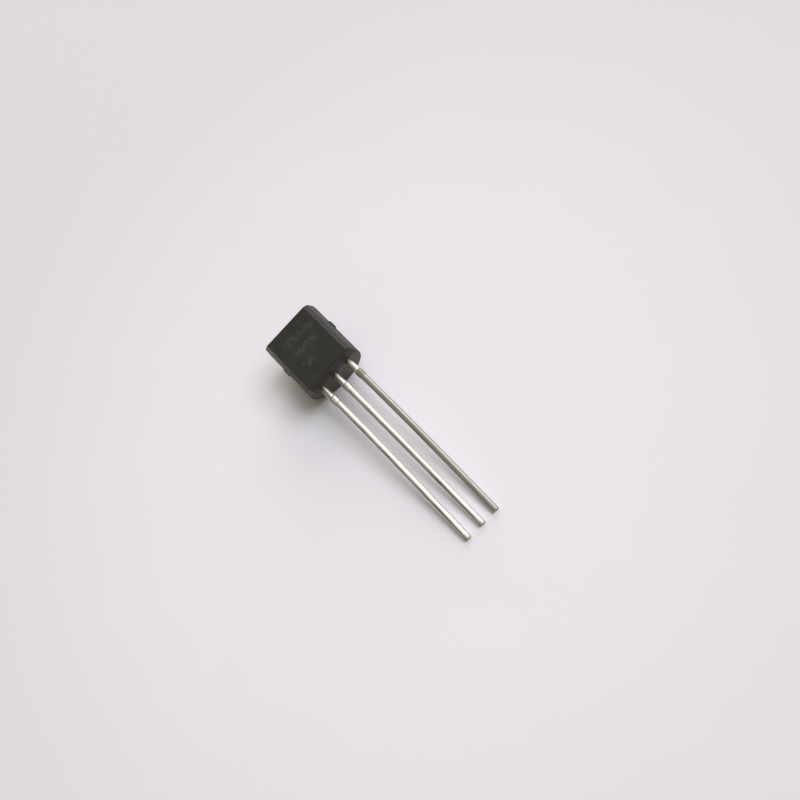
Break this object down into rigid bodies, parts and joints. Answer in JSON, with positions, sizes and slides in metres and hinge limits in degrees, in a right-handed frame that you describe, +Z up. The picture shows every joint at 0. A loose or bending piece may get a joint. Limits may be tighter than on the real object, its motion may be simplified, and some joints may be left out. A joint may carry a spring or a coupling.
{
  "type": "voltage regulator",
  "caption": "Small voltage regulator: a dark moulded case with a flat front face and a round back, and straight tinned leads in a row.",
  "frame": {"origin": "on the surface that the part lies on, below the middle of its overall box", "axes": "+X along the leads towards their tips, +Y across the leads, +Z up. The flat face looks up and leans 9 degrees towards +X"},
  "size_m": [0.0192, 0.0048, 0.0045],
  "materials": {
    "moulding": "matte dark moulding compound",
    "tinned_lead": "tinned, slightly uneven",
    "silicon": "polished silicon",
    "attach": "metal-filled adhesive",
    "bond_wire": "drawn gold wire"
  },
  "bodies": {
    "root": {"case": "moulding", "left_lead": "tinned_lead", "middle_lead": "tinned_lead", "right_lead": "tinned_lead", "die": "silicon", "die_attach": "attach", "left_bond_wire": "bond_wire", "right_bond_wire": "bond_wire", "ground_bond_wire": "bond_wire"}
  },
  "joints": []
}
